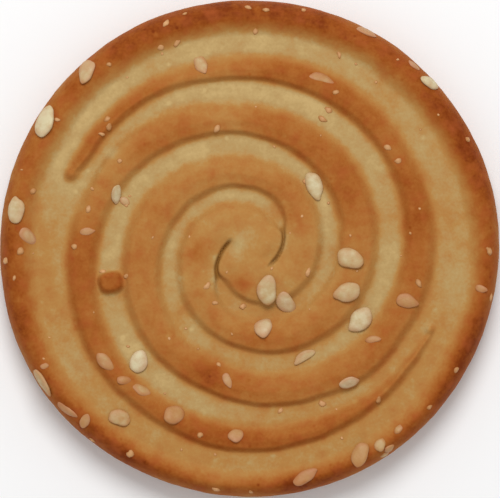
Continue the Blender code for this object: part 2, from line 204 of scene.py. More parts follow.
# Blotches: (x mm, y mm, radius mm, browning added).
BLOTCHES = (
    (-1.2, 0.7, 1.3, -0.17), (-1.5, -0.8, 1.0, -0.13), (-0.7, -3.9, 1.3, 0.28), (-5.7, -0.2, 1.1, 0.22),
    (-4.7, -13.8, 1.5, 0.20), (-20.0, 8.0, 2.0, -0.15), (4.6, -25.9, 1.2, 0.15), (-10.5, 2.2, 1.8, -0.10),
    (-7.4, -7.2, 1.3, 0.12), (-7.0, -10.8, 1.2, -0.15), (4.6, -10.9, 1.4, 0.11), (8.3, -9.7, 1.5, 0.14),
    (-11.7, 10.7, 1.3, 0.16), (-15.2, 10.6, 0.9, -0.20), (-3.5, -26.3, 1.3, -0.18), (-1.0, -22.3, 1.2, -0.16),
    (18.3, 3.0, 1.5, 0.16), (18.0, -3.0, 1.3, 0.12), (-11.0, -13.4, 1.0, 0.12), (7.0, 17.2, 1.6, -0.12),
)  # fmt: skip

# ------------------------------------------------------------------------------------------------
# Seeds and crumbs
# ------------------------------------------------------------------------------------------------

# Seeds: (x mm, y mm, turn of the pointed end in degrees, length mm, width mm, toasting, rosiness).
LYING_SEEDS = (
    (-22.7, 14.2, 84, 3.7, 2.2, 0.04, 0.1), (-26.1, 4.3, 90, 3.1, 1.9, 0.22, 0.1),
    (20.1, 18.5, 184, 2.4, 1.6, 0.10, 0.1), (7.3, 7.0, -70, 3.2, 1.85, 0.18, 0.0),
    (-14.9, 6.1, -80, 2.3, 1.25, 0.10, 0.1), (11.4, -1.1, -20, 3.2, 2.2, 0.37, 0.0),
    (10.9, -4.9, 202, 3.0, 2.2, 0.35, 0.1), (12.4, -8.0, 222, 3.3, 2.2, 0.16, 0.1),
    (2.1, -4.7, 274, 3.4, 2.2, 0.32, 0.1), (4.25, -6.0, -58, 3.0, 1.8, 0.30, 0.5),
    (6.3, -12.2, 30, 2.9, 1.0, 0.36, 0.1), (11.2, -15.0, 10, 2.3, 1.4, 0.18, 0.6),
    (-12.5, -12.6, 70, 2.8, 1.9, 0.06, 0.2), (-14.5, -19.1, -12, 2.6, 1.8, 0.46, 0.0),
    (-23.1, -15.0, -62, 3.4, 1.4, 0.34, 0.2), (-18.1, 19.7, 255, 2.9, 1.8, 0.36, 0.5),
    (12.5, -23.2, 255, 2.8, 1.9, 0.66, 0.0),
)  # fmt: skip
BEDDED_SEEDS = (
    (-5.4, 20.6, -65, 2.5, 1.5, 0.40, 0.5), (13.1, 24.2, -25, 2.6, 1.4, 0.56, 0.8),
    (18.5, 20.5, -35, 1.7, 1.0, 0.64, 0.9), (17.7, -6.0, -10, 2.5, 1.6, 0.72, 0.4),
    (-13.9, 5.3, -40, 1.3, 0.9, 0.45, 0.3), (1.7, -8.9, 60, 2.5, 1.9, 0.24, 0.7),
    (-2.4, -14.8, -68, 1.7, 0.95, 0.60, 0.6), (-8.4, -18.6, 20, 2.6, 2.1, 0.70, 0.2),
    (-18.4, -19.3, 65, 1.8, 1.1, 0.62, 0.5), (-1.5, -20.9, 40, 1.8, 1.6, 0.62, 0.4),
    (6.3, -25.6, 30, 3.0, 1.4, 0.86, 0.4), (14.7, -22.0, 70, 1.6, 1.2, 0.40, 0.1),
    (15.7, -22.4, 30, 1.3, 1.0, 0.55, 0.3), (15.2, -23.1, -20, 1.1, 0.9, 0.50, 0.2),
)  # fmt: skip
SUNK_SEEDS = (
    (-24.7, 1.3, -35, 2.7, 1.5, 0.48, 0.9), (8.1, 19.0, -15, 2.9, 1.2, 0.66, 0.5),
    (-18.1, 1.9, 10, 1.7, 0.9, 0.60, 0.5), (-16.1, -12.7, -45, 2.7, 1.3, 0.60, 0.4),
    (-14.0, -14.7, 0, 1.7, 1.0, 0.90, 0.4), (-12.0, -15.8, -18, 2.4, 1.2, 0.55, 0.4),
    (-20.4, -18.1, -25, 2.7, 1.1, 0.74, 0.6), (16.7, -20.2, 60, 1.2, 0.8, 0.60, 0.4),
    (13.9, -10.2, 3, 1.8, 0.8, 0.70, 0.4), (26.0, -4.5, -20, 1.4, 0.8, 0.78, 0.5),
    (-22.9, -13.2, 20, 1.0, 0.6, 0.60, 0.9),
)  # fmt: skip
# How browned the edges of the lying, bedded and sunk seeds are, and how rosy.
SEED_EDGES = ((0.14, 0.30), (0.24, 0.25), (0.36, 0.05))
LYING_LIFT, BEDDED_LIFT, SUNK_LIFT = 0.22, 0.02, -0.16  # of its thickness, middle above the dough
SEED_REST = 0.35  # how far each side of its middle a seed or crumb feels the dough's slope, of its width
SEED_BELLY = 0.43  # place of a seed's widest part along it, from the round end
SEED_TAPER = (2.2, 0.68)  # how full a seed's pointed half is, and how sharp its point
SEED_FLATNESS = 0.8  # 1 is an ellipse from end to end and from top to bottom, less is fuller
SEED_BEND, SEED_LOP = 0.07, 0.14  # the most that a seed bends, of its length, and leans to one side
SEED_RIM, SEED_TIP = (0.45, 1.05), (0.6, 1.0)  # where a seed's edge and its tip brown, of its half length
TIP_TONE, BODY_TONE = 0.12, -0.04  # browning added to the tip, and to the whole seed
ROSY_MIDDLE = 0.6  # share of a seed's rosiness that its middle has
SEED_DRAW, CRUMB_DRAW = 7, 23  # what the random draws for the seeds and for the crumbs start from
SEED_SIDES, SEED_ROWS = 32, 26  # points round a seed, and rings along it
SEED_UNEVENNESS, CRUMB_UNEVENNESS = 0.13, 0.35  # of their outlines
SEED_LUMPS = ((0.055 * MM, 0.9 * MM), (0.012 * MM, 0.35 * MM))  # height and size of the lumps on a seed
CRUMB_LUMPS = ((0.05 * MM, 0.3 * MM),)

# The larger crumbs and blisters: (x mm, y mm).
LARGE_CRUMBS = (
    (-9.9, 22.5), (-8.1, 23.0), (-15.7, 20.6), (-21.5, 14.4), (-15.9, 14.5), (-15.7, 13.6), (-16.5, 12.8),
    (-14.5, 9.8), (-9.3, 25.2), (-0.1, 27.0), (1.9, 26.7), (6.1, 26.7), (-7.2, 26.3), (0.7, 24.3), (10.1, 21.7),
    (9.7, 17.5), (24.5, 12.2), (15.5, 11.3), (16.7, 9.8), (-24.2, 6.4), (-17.6, 6.7), (-18.0, 4.4), (-19.6, 0.2),
    (-27.3, -1.4), (-25.6, -0.3), (-26.3, -3.3), (-4.7, -4.2), (-3.8, -6.1), (-0.7, -6.5), (6.6, -2.7),
    (19.0, -3.9), (26.9, -0.3), (27.1, -5.5), (14.5, -17.0), (23.2, -13.6), (20.2, -17.8), (-3.4, -13.0),
    (-5.5, -20.9), (8.2, -17.4), (3.5, -18.2), (-3.7, -27.0), (0.2, -27.3), (-13.3, -23.0), (-17.6, -21.5),
    (-3.6, 13.4), (8.9, 15.5), (8.2, 14.5), (6.3, 7.5), (-13.8, 4.9), (-16.4, -2.6), (-13.8, -3.1),
)  # fmt: skip
LARGE_SPREAD, FINE_SPREAD = (0.8, 1.4), (0.35, 0.6)  # least and most width, of the crumb size
CRUMB_STRETCH, CRUMB_HEIGHT = (0.75, 1.35), (0.35, 0.5)  # least and most length and height, of the width
CRUMB_TONE = 0.5  # the most that a crumb is toasted, and how much more its skirt is
CRUMB_SKIRT = (0.3, 1.0)  # where its skirt begins and ends, of its half width
CRUMB_MARGIN = 1.0 * MM  # how far the fine crumbs keep from the outline
CRUMB_SIDES, CRUMB_ROWS = 12, 9

# ------------------------------------------------------------------------------------------------
# Fine detail of the finishes
# ------------------------------------------------------------------------------------------------

SPECKLE_GAIN = 4.0  # brings soft noise up to about 1
CRUST_MOTTLES = ((3.2 * MM, 1.0, 0.07), (1.1 * MM, 2.0, 0.07), (0.32 * MM, 2.0, 0.05))  # size, detail, browning
PALE_FLECKS = {"Spacing": 1.3 * MM, "Width": 0.3, "Share": 0.10}
DARK_FLECKS = {"Spacing": 0.9 * MM, "Width": 0.3, "Share": 0.14}
PALE_FLECK, DARK_FLECK = 0.14, 0.25  # browning taken off, and added as a share of what is there
BLUSH = {"Size": 1.6 * MM, "Detail": 3.0}
BLUSH_LIFT, BLUSH_SHARE = 0.15, 0.62  # how much of the crust is redder, and how red it gets

# ------------------------------------------------------------------------------------------------
# How finely the dough is meshed
# ------------------------------------------------------------------------------------------------

ROW_GAP = 0.14 * MM  # between the rings of points on the top
RIM_POINTS = 512
HALVINGS = (14.0 * MM, 7.0 * MM, 3.5 * MM, 1.75 * MM, 0.9 * MM)  # inside each radius a ring has half the points
ROLL_ROWS, SIDE_ROWS, UNDERSIDE_ROWS = 20, 14, 36

# ------------------------------------------------------------------------------------------------
# Stage
# ------------------------------------------------------------------------------------------------

FLOOR_HALF = 3.0  # half the floor's width
FLOOR_GAP = 0.02 * MM  # between the floor and the underside
FLOOR_TOUCH = 0.2 * MM  # light that starts this near the floor passes through it
CAMERA_AIM = (0.1 * MM, -0.07 * MM, 4.5 * MM)  # the point that the camera stands over
SENSOR = 36.0  # width of the camera's sensor, in its own millimetres


def length(name, description, default):
    return FloatProperty(
        name=name, description=description, default=default, min=0.0, subtype="DISTANCE", unit="LENGTH", precision=5
    )


def share(name, description, default):
    return FloatProperty(name=name, description=description, default=default, min=0.0, max=1.0, subtype="FACTOR")


def colour(name, description, default):
    return FloatVectorProperty(
        name=name, description=description, default=default, size=3, min=0.0, max=1.0, subtype="COLOR"
    )


class BiscuitSizes(bpy.types.PropertyGroup):
    """Sizes of the dough, the seeds and the crumbs"""

    radius: length("Radius", "Half the biscuit's width", 28.0 * MM)
    height: length("Height", "Ridge crowns above the underside, at the rim", 6.4 * MM)
    dome: length("Dome", "How much higher the middle is than the rim", 0.2 * MM)
    widest_at: length("Widest at", "Height of the side's widest line", 2.7 * MM)
    roll: length("Roll", "Width over which the rim rolls down to the widest line", 2.1 * MM)
    roll_squareness: FloatProperty(
        name="Roll squareness", description="2 rolls as an ellipse, more is fuller", default=2.3, min=1.0, max=6.0
    )
    groove_depth: length("Groove depth", "Depth of the grooves and the channel", 1.0 * MM)
    wall: length("Wall", "Width of a groove's steep side where it is steepest", 0.68 * MM)
    fair_wall: length("Fair wall", "Width of a groove's side where it is softest", 1.7 * MM)
    shoulder: length("Shoulder", "Width over which a ridge rounds off above the steep side", 1.7 * MM)
    wall_share: share("Wall share", "Part of the depth that the steep side takes", 0.68)
    channel_slope: length("Channel slope", "Width of the soft slope from the channel up to the rim", 2.2 * MM)
    plug_radius: length("Plug radius", "Half the width of the plug of dough across the second groove", 1.4 * MM)
    wander: length("Wander", "How far the groove edges wander", 0.10 * MM)
    swell: length("Swell", "Height of the crust's broad unevenness", 0.05 * MM)
    pimple: length("Pimples", "Height of the crust's small unevenness", 0.02 * MM)
    seed_thickness: share("Seed thickness", "Thickness of a seed, of its width", 0.38)
    crumb: length("Crumb", "Width of a large crumb", 0.62 * MM)
    fine_crumbs: IntProperty(name="Fine crumbs", description="How many fine crumbs there are", default=40, min=0)


class BiscuitColours(bpy.types.PropertyGroup):
    """Colours of the crust, the seeds and the crumbs"""

    cream: colour("Cream", "The palest dough, not browned at all", (0.545, 0.378, 0.158))
    pale: colour("Pale dough", "The floors of the grooves, hardly browned", (0.462, 0.305, 0.120))
    straw: colour("Straw", "Dough that has begun to colour", (0.443, 0.224, 0.0630))
    golden: colour("Golden", "Lightly browned crust", (0.417, 0.171, 0.0405))
    russet: colour("Russet", "Well browned crust", (0.369, 0.119, 0.0220))
    brown: colour("Brown", "Dark crust on the ridges", (0.297, 0.073, 0.0100))
    scorched: colour("Scorched", "The darkest patches of the rim", (0.190, 0.034, 0.004))
    flush: colour("Flush", "The redder tint of some patches", (0.385, 0.090, 0.022))
    # painted shade, with some browning, at the bottom of the tight folds
    crease_shade: colour("Crease shade", "The bottom of the tight folds in the middle", (0.255, 0.112, 0.020))
    hull: colour("Seed hull", "An untoasted sesame seed", (0.630, 0.540, 0.330))
    warm_hull: colour("Warm hull", "A seed that has begun to colour", (0.520, 0.375, 0.185))
    toasted_hull: colour("Toasted hull", "A toasted sesame seed", (0.455, 0.235, 0.080))
    brown_hull: colour("Brown hull", "The darkest edges of the seeds", (0.400, 0.150, 0.035))
    rosy_hull: colour("Rosy hull", "The pinker tint of some seeds", (0.520, 0.245, 0.135))
    crumb: colour("Crumb", "Loose crumbs and blisters", (0.610, 0.325, 0.135))


class BiscuitStage(bpy.types.PropertyGroup):
    """The floor, the lights and the camera"""

    floor: colour("Floor", "Colour of the floor", (0.92, 0.92, 0.92))
    key: FloatProperty(name="Key light", description="Power of the soft box, in watts", default=2.1, min=0.0)
    fill: FloatProperty(name="Fill light", description="Strength of the light from all round", default=0.58, min=0.0)
    key_bearing: FloatProperty(
        name="Key bearing", description="Where the soft box stands", default=math.radians(92.0), subtype="ANGLE"
    )
    key_height: FloatProperty(
        name="Key elevation", description="How high the soft box is", default=math.radians(60.0), subtype="ANGLE"
    )
    key_distance: length("Key distance", "From the biscuit to the soft box", 0.6)
    key_size: length("Key size", "Width of the soft box", 0.30)
    camera_distance: length("Camera distance", "From the top of the biscuit to the camera", 1.0)
    view_width: length("View width", "Width of what the camera sees at the biscuit", 56.1 * MM)


# ------------------------------------------------------------------------------------------------
# Shape functions
# ------------------------------------------------------------------------------------------------


def smoothstep(low, high, value):
    """0 at `low`, 1 at `high`, and level at both."""
    s = np.clip((value - low) / (high - low), 0.0, 1.0)
    return s * s * (3.0 - 2.0 * s)


def hermite(knots, turn):
    """The columns of `knots` after the first, as smooth curves through the rows, read at `turn`."""
    knots = np.asarray(knots, float)
    at, values = knots[:, 0], knots[:, 1:]
    slopes = np.empty_like(values)
    slopes[1:-1] = (values[2:] - values[:-2]) / (at[2:] - at[:-2])[:, None]
    slopes[0] = (values[1] - values[0]) / (at[1] - at[0])
    slopes[-1] = (values[-1] - values[-2]) / (at[-1] - at[-2])
    row = np.clip(np.searchsorted(at, turn, side="right") - 1, 0, len(at) - 2)
    gap = at[row + 1] - at[row]
    s = np.clip((turn - at[row]) / gap, 0.0, 1.0)[..., None]
    gap = gap[..., None]
    return (
        (2 * s**3 - 3 * s**2 + 1) * values[row]
        + (s**3 - 2 * s**2 + s) * gap * slopes[row]
        + (3 * s**2 - 2 * s**3) * values[row + 1]
        + (s**3 - s**2) * gap * slopes[row + 1]
    )


def round_trip(knots, bearing):
    """A value that goes smoothly round the biscuit, read at `bearing` in degrees."""
    rows = [(at + 360 * lap, value) for lap in (-1, 0, 1) for at, value in knots]
    return hermite(rows, np.mod(bearing, 360.0))[..., 0]


def groove_at(groove, turn):
    """Distance from the swirl's centre and half width in metres, and depth share, at `turn` degrees."""
    distance, half_width = np.moveaxis(hermite(GROOVES[groove], turn), -1, 0)
    return distance * MM, half_width * MM, np.clip(hermite(GROOVE_OPENS, turn)[..., 0], 0.0, 1.0)


def groove_lean(groove, turn):
    """Cosine of the angle between the groove and a circle round the swirl's centre."""
    ahead, behind = groove_at(groove, turn + 1.0)[0], groove_at(groove, turn - 1.0)[0]
    return np.cos(np.arctan((ahead - behind) / math.radians(2.0) / groove_at(groove, turn)[0]))


def laps(bearing):
    """Each lap of both grooves: groove, degrees wound at each bearing, and its centre, half width and depth there."""
    for groove, start in enumerate(GROOVE_STARTS):
        for lap in range(-1, 4):
            turn = bearing - start + 360.0 * lap
            yield groove, turn, *groove_at(groove, np.clip(turn, FIRST_TURN, LAST_TURN))


def from_circle(x, y, circle):
    """Distance outside a circle given as its centre and radius."""
    (middle_x, middle_y), radius = circle
    return np.hypot(x - middle_x, y - middle_y) - radius


def swirl_polar(x, y):
    """Distance and bearing in degrees from the swirl's centre."""
    dx, dy = x - SWIRL_CENTRE[0], y - SWIRL_CENTRE[1]
    return np.hypot(dx, dy), np.degrees(np.arctan2(dy, dx))


def outline(sizes, bearing):
    """Distance from the origin to the outline at `bearing`, in radians."""
    radius = np.full_like(bearing, sizes.radius)
    for lobes, height, direction in OUTLINE_WAVES:
        radius = radius + height * MM * np.cos(lobes * (bearing - math.radians(direction)))
    return radius


def bank(sizes, outside, wall):
    """Share of the depth at a distance outside a floor's edge: a steep side, then a round shoulder."""
    steep = 1.0 - smoothstep(0.0, wall, outside)
    rounded = 1.0 - smoothstep(0.0, wall + sizes.shoulder, outside)
    return sizes.wall_share * steep + (1.0 - sizes.wall_share) * rounded


def wall_width(sizes, bearing, side):
    """Width of a floor's side: soft where it faces the key light's side; `side` is 1 outside the floor, -1 inside."""
    soft = 0.5 - 0.5 * side * np.cos(np.radians(bearing - LIT_SIDE))
    return sizes.wall + (sizes.fair_wall - sizes.wall) * soft**0.5


def inside_tip(groove, distance, bearing):
    """Distance inside the round end of the ridge outside a groove."""
    turn, reach, radius = TIPS[groove]
    away = np.radians(bearing - GROOVE_STARTS[groove] - turn)
    reach = reach * MM
    return radius * MM - np.sqrt(distance**2 + reach**2 - 2.0 * distance * reach * np.cos(away))


def cut_shape(sizes, x, y):
    """Distance outside the nearest floor, the share of the depth that is cut, and how much painted shade a tight fold
    gets.
    """
    distance, bearing = swirl_polar(x, y)
    nearest = -from_circle(x, y, CHANNEL_INNER)
    deepest = bank(sizes, nearest, wall_width(sizes, bearing, -1.0))
    crease_shade = np.zeros_like(nearest)
    for groove, turn, centre, half_width, depth in laps(bearing):
        reached = (turn >= FIRST_TURN) & (turn <= LAST_TURN)
        off_centre = np.where(turn < TIPS[groove][0], np.abs(distance - centre), centre - distance)
        outside = off_centre * groove_lean(groove, turn) - half_width
        wall = wall_width(sizes, bearing, np.sign(distance - centre))
        wall = np.minimum(wall, CREASE_WALL[0] + CREASE_WALL[1] * half_width)
        cut = depth * bank(sizes, outside, wall)
        nearest = np.where(reached, np.minimum(nearest, outside), nearest)
        deepest = np.where(reached, np.maximum(deepest, cut), deepest)
        narrow = CREASE_SHADE_SHARES[groove] * depth * (1.0 - smoothstep(*CREASE, half_width))
        narrow = narrow * (1.0 - smoothstep(0.0, CREASE_SHADE_REACH, outside))
        crease_shade = np.where(reached, np.maximum(crease_shade, narrow), crease_shade)
    for groove in range(len(GROOVES)):
        inside = inside_tip(groove, distance, bearing)
        on_tip = inside > nearest
        nearest = np.where(on_tip, inside, nearest)
        deepest = np.where(on_tip, bank(sizes, inside, TIP_WALL * sizes.wall), deepest)
    return nearest, deepest, crease_shade


def plug_share(sizes, x, y):
    """1 away from the plug of dough, 0 on it."""
    dx, dy = x - PLUG_CENTRE[0], y - PLUG_CENTRE[1]
    outward = math.atan2(PLUG_CENTRE[1] - SWIRL_CENTRE[1], PLUG_CENTRE[0] - SWIRL_CENTRE[0])
    across = np.abs(dx * math.cos(outward) + dy * math.sin(outward)) / (PLUG_ACROSS * sizes.plug_radius)
    along = np.abs(dy * math.cos(outward) - dx * math.sin(outward)) / sizes.plug_radius
    plug = (across**PLUG_SQUARENESS + along**PLUG_SQUARENESS) ** (1.0 / PLUG_SQUARENESS)
    return smoothstep(PLUG_TOP, 1.0, plug)


def outside_channel(x, y):
    """Distance outside the channel's floor."""
    return np.hypot(x, y) - MM * round_trip(CHANNEL_OUTER, np.degrees(np.arctan2(y, x)))


def rim_share(sizes, x, y):
    """0 in the channel, 1 on the rim."""
    return smoothstep(0.0, sizes.channel_slope, outside_channel(x, y))


def top_height(sizes, x, y):
    """Height of the top surface at each point inside the outline."""
    distance, edge = np.hypot(x, y), outline(sizes, np.arctan2(y, x))
    inward = np.clip((edge - distance) / sizes.roll, 0.0, 1.0)
    roll = (1.0 - (1.0 - inward) ** sizes.roll_squareness) ** (1.0 / sizes.roll_squareness)
    crown = sizes.height + sizes.dome * (1.0 - (distance / sizes.radius) ** 2)
    cut = cut_shape(sizes, x, y)[1] * plug_share(sizes, x, y) * (1.0 - rim_share(sizes, x, y))
    return sizes.widest_at + (crown - sizes.widest_at) * roll - sizes.groove_depth * cut


def rough(points, size, offset=0.0):
    """Smooth noise from -1 to 1 at each point, with features about `size` wide."""
    return np.array([noise.noise(Vector(point)) for point in (points / size + offset).tolist()])


# ------------------------------------------------------------------------------------------------
# Browning, with painted light and shade
# ------------------------------------------------------------------------------------------------


def ridge_place(x, y):
    """Which groove each point lies outside of, the degrees wound there, and how far across the ridge."""
    distance, bearing = swirl_polar(x, y)
    groove = np.zeros(x.shape, int)
    wound = np.full(x.shape, FIRST_TURN)
    across = np.full(x.shape, 0.5)
    for number, turn, inner, inner_half, _ in laps(bearing):
        outer, outer_half, _ = groove_at(1 - number, np.clip(turn + 180.0, FIRST_TURN, LAST_TURN))
        inner_edge = inner + inner_half
        outer_edge = np.minimum(outer - outer_half, CHANNEL_INNER[1])
        here = (turn >= FIRST_TURN) & (distance >= inner) & (distance < np.maximum(outer, inner_edge))
        place = (distance - inner_edge) / np.maximum(outer_edge - inner_edge, LEAST_RIDGE)
        groove = np.where(here, number, groove)
        wound = np.where(here, turn, wound)
        across = np.where(here, np.clip(place, 0.0, 1.0), across)
    return groove, wound, across


def along_groove(tables, groove, wound):
    """A value from one of two tables, by which groove each point belongs to."""
    return np.where(groove == 0, hermite(tables[0], wound)[..., 0], hermite(tables[1], wound)[..., 0])


def floor_browning(x, y):
    """Browning of the floors near each point, the nearest counting most, and of the channel with its partly painted
    light and shade.
    """
    distance, bearing = swirl_polar(x, y)
    total, weights = np.zeros(x.shape), np.full(x.shape, NEVER_ZERO)
    for groove, turn, centre, half_width, _ in laps(bearing):
        away = np.clip(np.abs(distance - centre) - half_width, 0.0, None) / FLOOR_BLEND
        weight = np.exp(-(away**2)) * smoothstep(FIRST_TURN - FLOOR_STARTS, FIRST_TURN, turn) * (turn <= LAST_TURN)
        total += weight * hermite(FLOOR_BROWNING[groove], turn)[..., 0]
        weights += weight
    floor = total / weights
    channel = round_trip(CHANNEL_BROWNING_AND_LIGHT, np.degrees(np.arctan2(y, x)))
    return floor + (channel - floor) * smoothstep(*CHANNEL_BLEND, np.hypot(x, y))


def crust_browning_and_light(sizes, x, y):
    """Browning of the top at each point, with painted light on the ridges' sides facing the light and painted shade on
    those facing away.
    """
    nearest, _, _ = cut_shape(sizes, x, y)
    groove, wound, across = ridge_place(x, y)
    _, bearing = swirl_polar(x, y)
    ridge = along_groove(RIDGE_BROWNING, groove, wound)
    side = (2.0 * across - 1.0) * smoothstep(FIRST_TURN, FIRST_TURN + SIDES_START, wound)
    # fair is 1 on a ridge side facing the light and -1 on one facing away; the terms below paint light and shade with
    # it
    fair = side * np.cos(np.radians(bearing - LIT_SIDE))
    ridge = ridge + RIDGE_TONE - PAINTED_LIGHT_LOSS * (1.0 + fair)
    ridge = ridge - (EDGE_PALING_AND_LIGHT[0] + EDGE_PALING_AND_LIGHT[1] * (1.0 - fair**2)) * side**2
    floor = floor_browning(x, y)
    edge = FLOOR_EDGE[1] * (1.0 - np.clip(-nearest / FLOOR_EDGE[0], 0.0, 1.0)) ** 2
    # painted light and shade: the browning rises slowly on the side facing the light and fast on the side away from it
    width = RISE_WIDTHS[0] + RISE_WIDTHS[1] * (1.0 + fair) + RISE_WIDTHS[2] * np.clip(fair, 0.0, 1.0) ** 4
    rise = 1.0 - (1.0 - np.clip(nearest / width, 0.0, 1.0)) ** 2
    top = floor + (ridge - floor) * (edge + (1.0 - edge) * rise)
    top = top + PLUG_TONE * (1.0 - plug_share(sizes, x, y))
    around = np.degrees(np.arctan2(y, x))
    inside = outline(sizes, np.radians(around)) - np.hypot(x, y)
    rim = round_trip(RIM_BROWNING, around) * (1.0 - RIM_INNER[2] * smoothstep(*RIM_INNER[:2], inside))
    # painted light on the roll near the outline
    rim = rim - RIM_EDGE_LIGHT[1] * (1.0 - np.clip(inside / RIM_EDGE_LIGHT[0], 0.0, 1.0)) ** 2
    browned = top + (rim - top) * smoothstep(*RIM_RISE, outside_channel(x, y))
    for spot_x, spot_y, radius, added in BLOTCHES:
        away = np.hypot(x - spot_x * MM, y - spot_y * MM) / (radius * MM)
        browned = browned + added * np.exp(-(away**2))
    return browned


# ------------------------------------------------------------------------------------------------
# Mesh helpers
# ------------------------------------------------------------------------------------------------


def ring_count(radius):
    """How many points a ring of this radius has."""
    return RIM_POINTS >> sum(radius < halving for halving in HALVINGS)


def bearings(count):
    """Evenly spaced bearings all the way round."""
    return np.arange(count) * 2.0 * math.pi / count


def stitch(first, first_count, second, second_count):
    """Faces between two rings of points, given by their first index; one may have twice the points."""
    if first_count == second_count:
        return [
            (first + i, second + i, second + (i + 1) % second_count, first + (i + 1) % first_count)
            for i in range(first_count)
        ]
    if second_count < first_count:
        return [face[::-1] for face in stitch(second, second_count, first, first_count)]
    faces = []
    for i in range(first_count):
        near, near_next = first + i, first + (i + 1) % first_count
        far, middle, far_next = (second + (2 * i + step) % second_count for step in (0, 1, 2))
        faces += [(near, far, middle), (near, middle, near_next), (near_next, middle, far_next)]
    return faces


def mesh_from_rings(name, rings):
    """A closed mesh through rings of points, the first and the last being single points."""
    starts = np.cumsum([0] + [len(ring) for ring in rings])
    faces = []
    for number, (near, far) in enumerate(zip(rings, rings[1:])):
        a, b = starts[number], starts[number + 1]
        if len(near) == 1:
            faces += [(a, b + i, b + (i + 1) % len(far)) for i in range(len(far))]
        elif len(far) == 1:
            faces += [(a + i, b, a + (i + 1) % len(near)) for i in range(len(near))]
        else:
            faces += stitch(a, len(near), b, len(far))
    mesh = bpy.data.meshes.new(name)
    mesh.from_pydata(np.vstack(rings).tolist(), [], [tuple(int(i) for i in face) for face in faces])
    mesh.update()
    mesh.shade_smooth()
    return mesh


def read_points(mesh, what="co"):
    """The place of each point, or its "normal"."""
    values = np.empty(len(mesh.vertices) * 3, np.float32)
    mesh.vertices.foreach_get(what, values)
    return values.reshape(-1, 3).astype(float)


def raise_points(mesh, relief):
    """Moves each point out along its normal."""
    points = read_points(mesh) + read_points(mesh, "normal") * relief[:, None]
    mesh.vertices.foreach_set("co", points.astype(np.float32).ravel())
    mesh.update()


def set_attribute(mesh, name, values):
    """A value at each point that the materials read."""
    attribute = mesh.attributes.new(name, "FLOAT", "POINT")
    attribute.data.foreach_set("value", np.asarray(values, np.float32))


def place_object(name, data):
    """A new object in the scene, instead of an old one of that name."""
    old = bpy.data.objects.get(name)
    if old is not None:
        bpy.data.objects.remove(old)
    made = bpy.data.objects.new(name, data)
    bpy.context.scene.collection.objects.link(made)
    return made


def add_piece(name, mesh, material):
    """A piece of the biscuit that rides on its body and stands for the solid."""
    piece = place_object(name, mesh)
    piece.data.materials.append(material)
    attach(piece, BODY)
    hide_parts(NODE)


# ------------------------------------------------------------------------------------------------
# Shader helpers
# ------------------------------------------------------------------------------------------------


def new_group(name, inputs, outputs):
    """An empty node group: inputs are (name, type, default), outputs are (name, type)."""
    old = bpy.data.node_groups.get(name)
    if old is not None:
        bpy.data.node_groups.remove(old)
    group = bpy.data.node_groups.new(name, "ShaderNodeTree")
    for title, kind, default in inputs:
        socket = group.interface.new_socket(name=title, in_out="INPUT", socket_type=kind)
        if default is not None:
            socket.default_value = default
    for title, kind in outputs:
        group.interface.new_socket(name=title, in_out="OUTPUT", socket_type=kind)
    return group, group.nodes.new("NodeGroupInput"), group.nodes.new("NodeGroupOutput")


def node(tree, kind, inputs=(), **settings):
    """A node with its settings, and its inputs given by name or number as a value or a socket."""
    made = tree.nodes.new(kind)
    for name, value in settings.items():
        setattr(made, name, value)
    for name, value in dict(inputs).items():
        if isinstance(value, bpy.types.NodeSocket):
            tree.links.new(value, made.inputs[name])
        else:
            made.inputs[name].default_value = value
    return made


def maths(tree, operation, first, second=0.0, clamp=False):
    """The result of one Math node."""
    return node(tree, "ShaderNodeMath", {0: first, 1: second}, operation=operation, use_clamp=clamp).outputs[0]


def weighed(tree, *terms, clamp=False):
    """The sum of values, each given with its share, kept from 0 to 1 where it is clamped."""
    parts = [value if share == 1.0 else maths(tree, "MULTIPLY", value, share) for value, share in terms]
    total = parts[0]
    for part in parts[1:]:
        total = maths(tree, "ADD", total, part, clamp=clamp and part is parts[-1])
    return total


def opaque(shade):
    """A colour with nothing see-through about it."""
    return (*shade, 1.0)


def mixed_colours(tree, amount, first, second):
    """From the first colour to the second as `amount` goes from 0 to 1."""
    mixed = node(tree, "ShaderNodeMix", {0: amount, "A": first, "B": second}, data_type="RGBA")
    return mixed.outputs["Result"]


def mask(tree, name):
    """A value that the mesh holds at each point."""
    return node(tree, "ShaderNodeAttribute", attribute_name=name).outputs["Fac"]


def fine_relief(tree, shader, height, strength, distance):
    """Relief that is finer than the mesh."""
    bump = node(tree, "ShaderNodeBump", {"Strength": strength, "Distance": distance, "Height": height})
    tree.links.new(bump.outputs[0], shader.inputs["Normal"])


def colour_ramp(tree, place, stops):
    """Colours for a value from 0 to 1, given as (place, colour)."""
    ramp = node(tree, "ShaderNodeValToRGB", {0: place})
    elements = ramp.color_ramp.elements
    while len(elements) < len(stops):
        elements.new(0.5)
    for element, (at, shade) in zip(elements, stops):
        element.position = at
        element.color = opaque(shade)
    return ramp.outputs["Color"]


def speckle_group():
    """Soft noise about 0, mostly from -1 to 1."""
    group, given, result = new_group(
        "Speckle",
        (("Vector", "NodeSocketVector", None), ("Size", "NodeSocketFloat", 0.001), ("Detail", "NodeSocketFloat", 2.0)),
        (("Value", "NodeSocketFloat"),),
    )
    scale = maths(group, "DIVIDE", 1.0, given.outputs["Size"])
    cloud = node(
        group,
        "ShaderNodeTexNoise",
        {"Vector": given.outputs["Vector"], "Scale": scale, "Detail": given.outputs["Detail"], "Roughness": 0.5},
        noise_dimensions="3D",
    )
    centred = maths(group, "SUBTRACT", cloud.outputs["Fac"], 0.5)
    group.links.new(maths(group, "MULTIPLY", centred, SPECKLE_GAIN), result.inputs["Value"])
    return group


